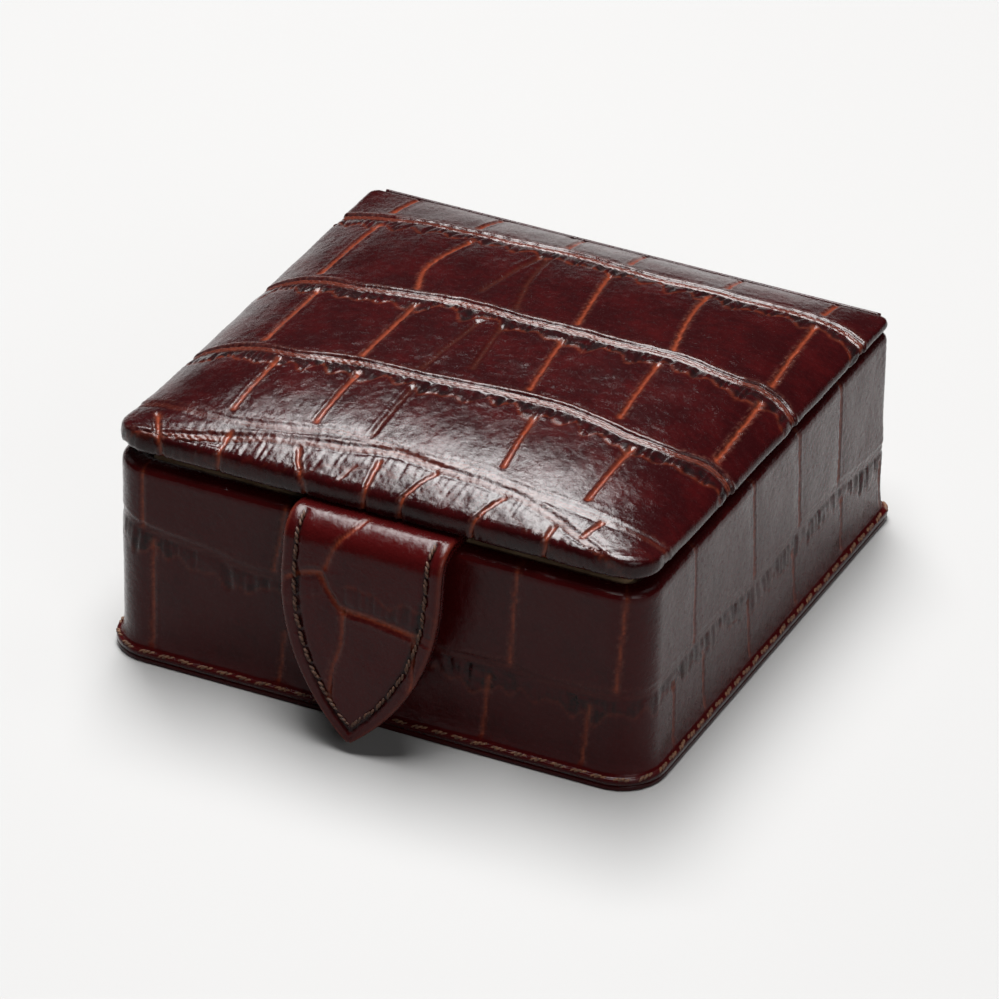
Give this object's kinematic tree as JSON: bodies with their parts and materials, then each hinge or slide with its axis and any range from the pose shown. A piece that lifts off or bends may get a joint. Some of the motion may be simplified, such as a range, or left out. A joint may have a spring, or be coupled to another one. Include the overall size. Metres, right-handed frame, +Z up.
{
  "type": "leather jewellery case",
  "caption": "Small square jewellery case in glossy embossed leather, with a padded hinged lid, a stitched shield tab on a press stud, and suede ring rolls and compartments inside.",
  "frame": {"origin": "middle of the sole's underside, on the table", "axes": "+Z up, front with the tab towards -Y, +X to the right as seen from the front"},
  "size_m": [0.097, 0.1059, 0.0471],
  "materials": {
    "leather": "glossy embossed oxblood",
    "sole_leather": "satin, plain",
    "board": "grey board",
    "foam": "upholstery foam",
    "suede": "suede nap",
    "thread": "waxed thread",
    "metal": "antique brass"
  },
  "bodies": {
    "base": {"sole_leather": "sole_leather", "wall_leather": "leather", "board_front": "board", "board_left": "board", "board_right": "board", "board_back": "board", "board_floor": "board", "wall_lining": "suede", "floor_pad": "suede", "long_divider": "suede", "short_divider": "suede", "ring_bed": "foam", "ring_roll_1": "suede", "ring_roll_2": "suede", "ring_roll_3": "suede", "ring_roll_4": "suede", "base_thread": "thread", "stud_post": "metal", "stud_rivet": "metal", "hinge_leather_lower": "leather"},
    "lid": {"lid_leather": "leather", "lid_board": "board", "lid_foam": "foam", "lid_lining_pad": "suede", "hinge_leather_upper": "leather", "tab_root": "leather"},
    "tab": {"tab_front_leather": "leather", "tab_back_leather": "sole_leather", "tab_thread": "thread", "stud_socket": "metal", "socket_rivet": "metal"}
  },
  "joints": [
    {"name": "lid_hinge", "type": "hinge", "parent": "base", "child": "lid", "pos_m": [0, 0.0477, 0.03608], "axis": [-1, 0, 0], "range_deg": [0, 105]},
    {"name": "tab_flex", "type": "hinge", "parent": "lid", "child": "tab", "pos_m": [0.0008, -0.0472, 0.03814], "axis": [-1, 0, 0], "range_deg": [-7.6, 90], "stiffness_Nm_per_rad": 0.012}
  ]
}
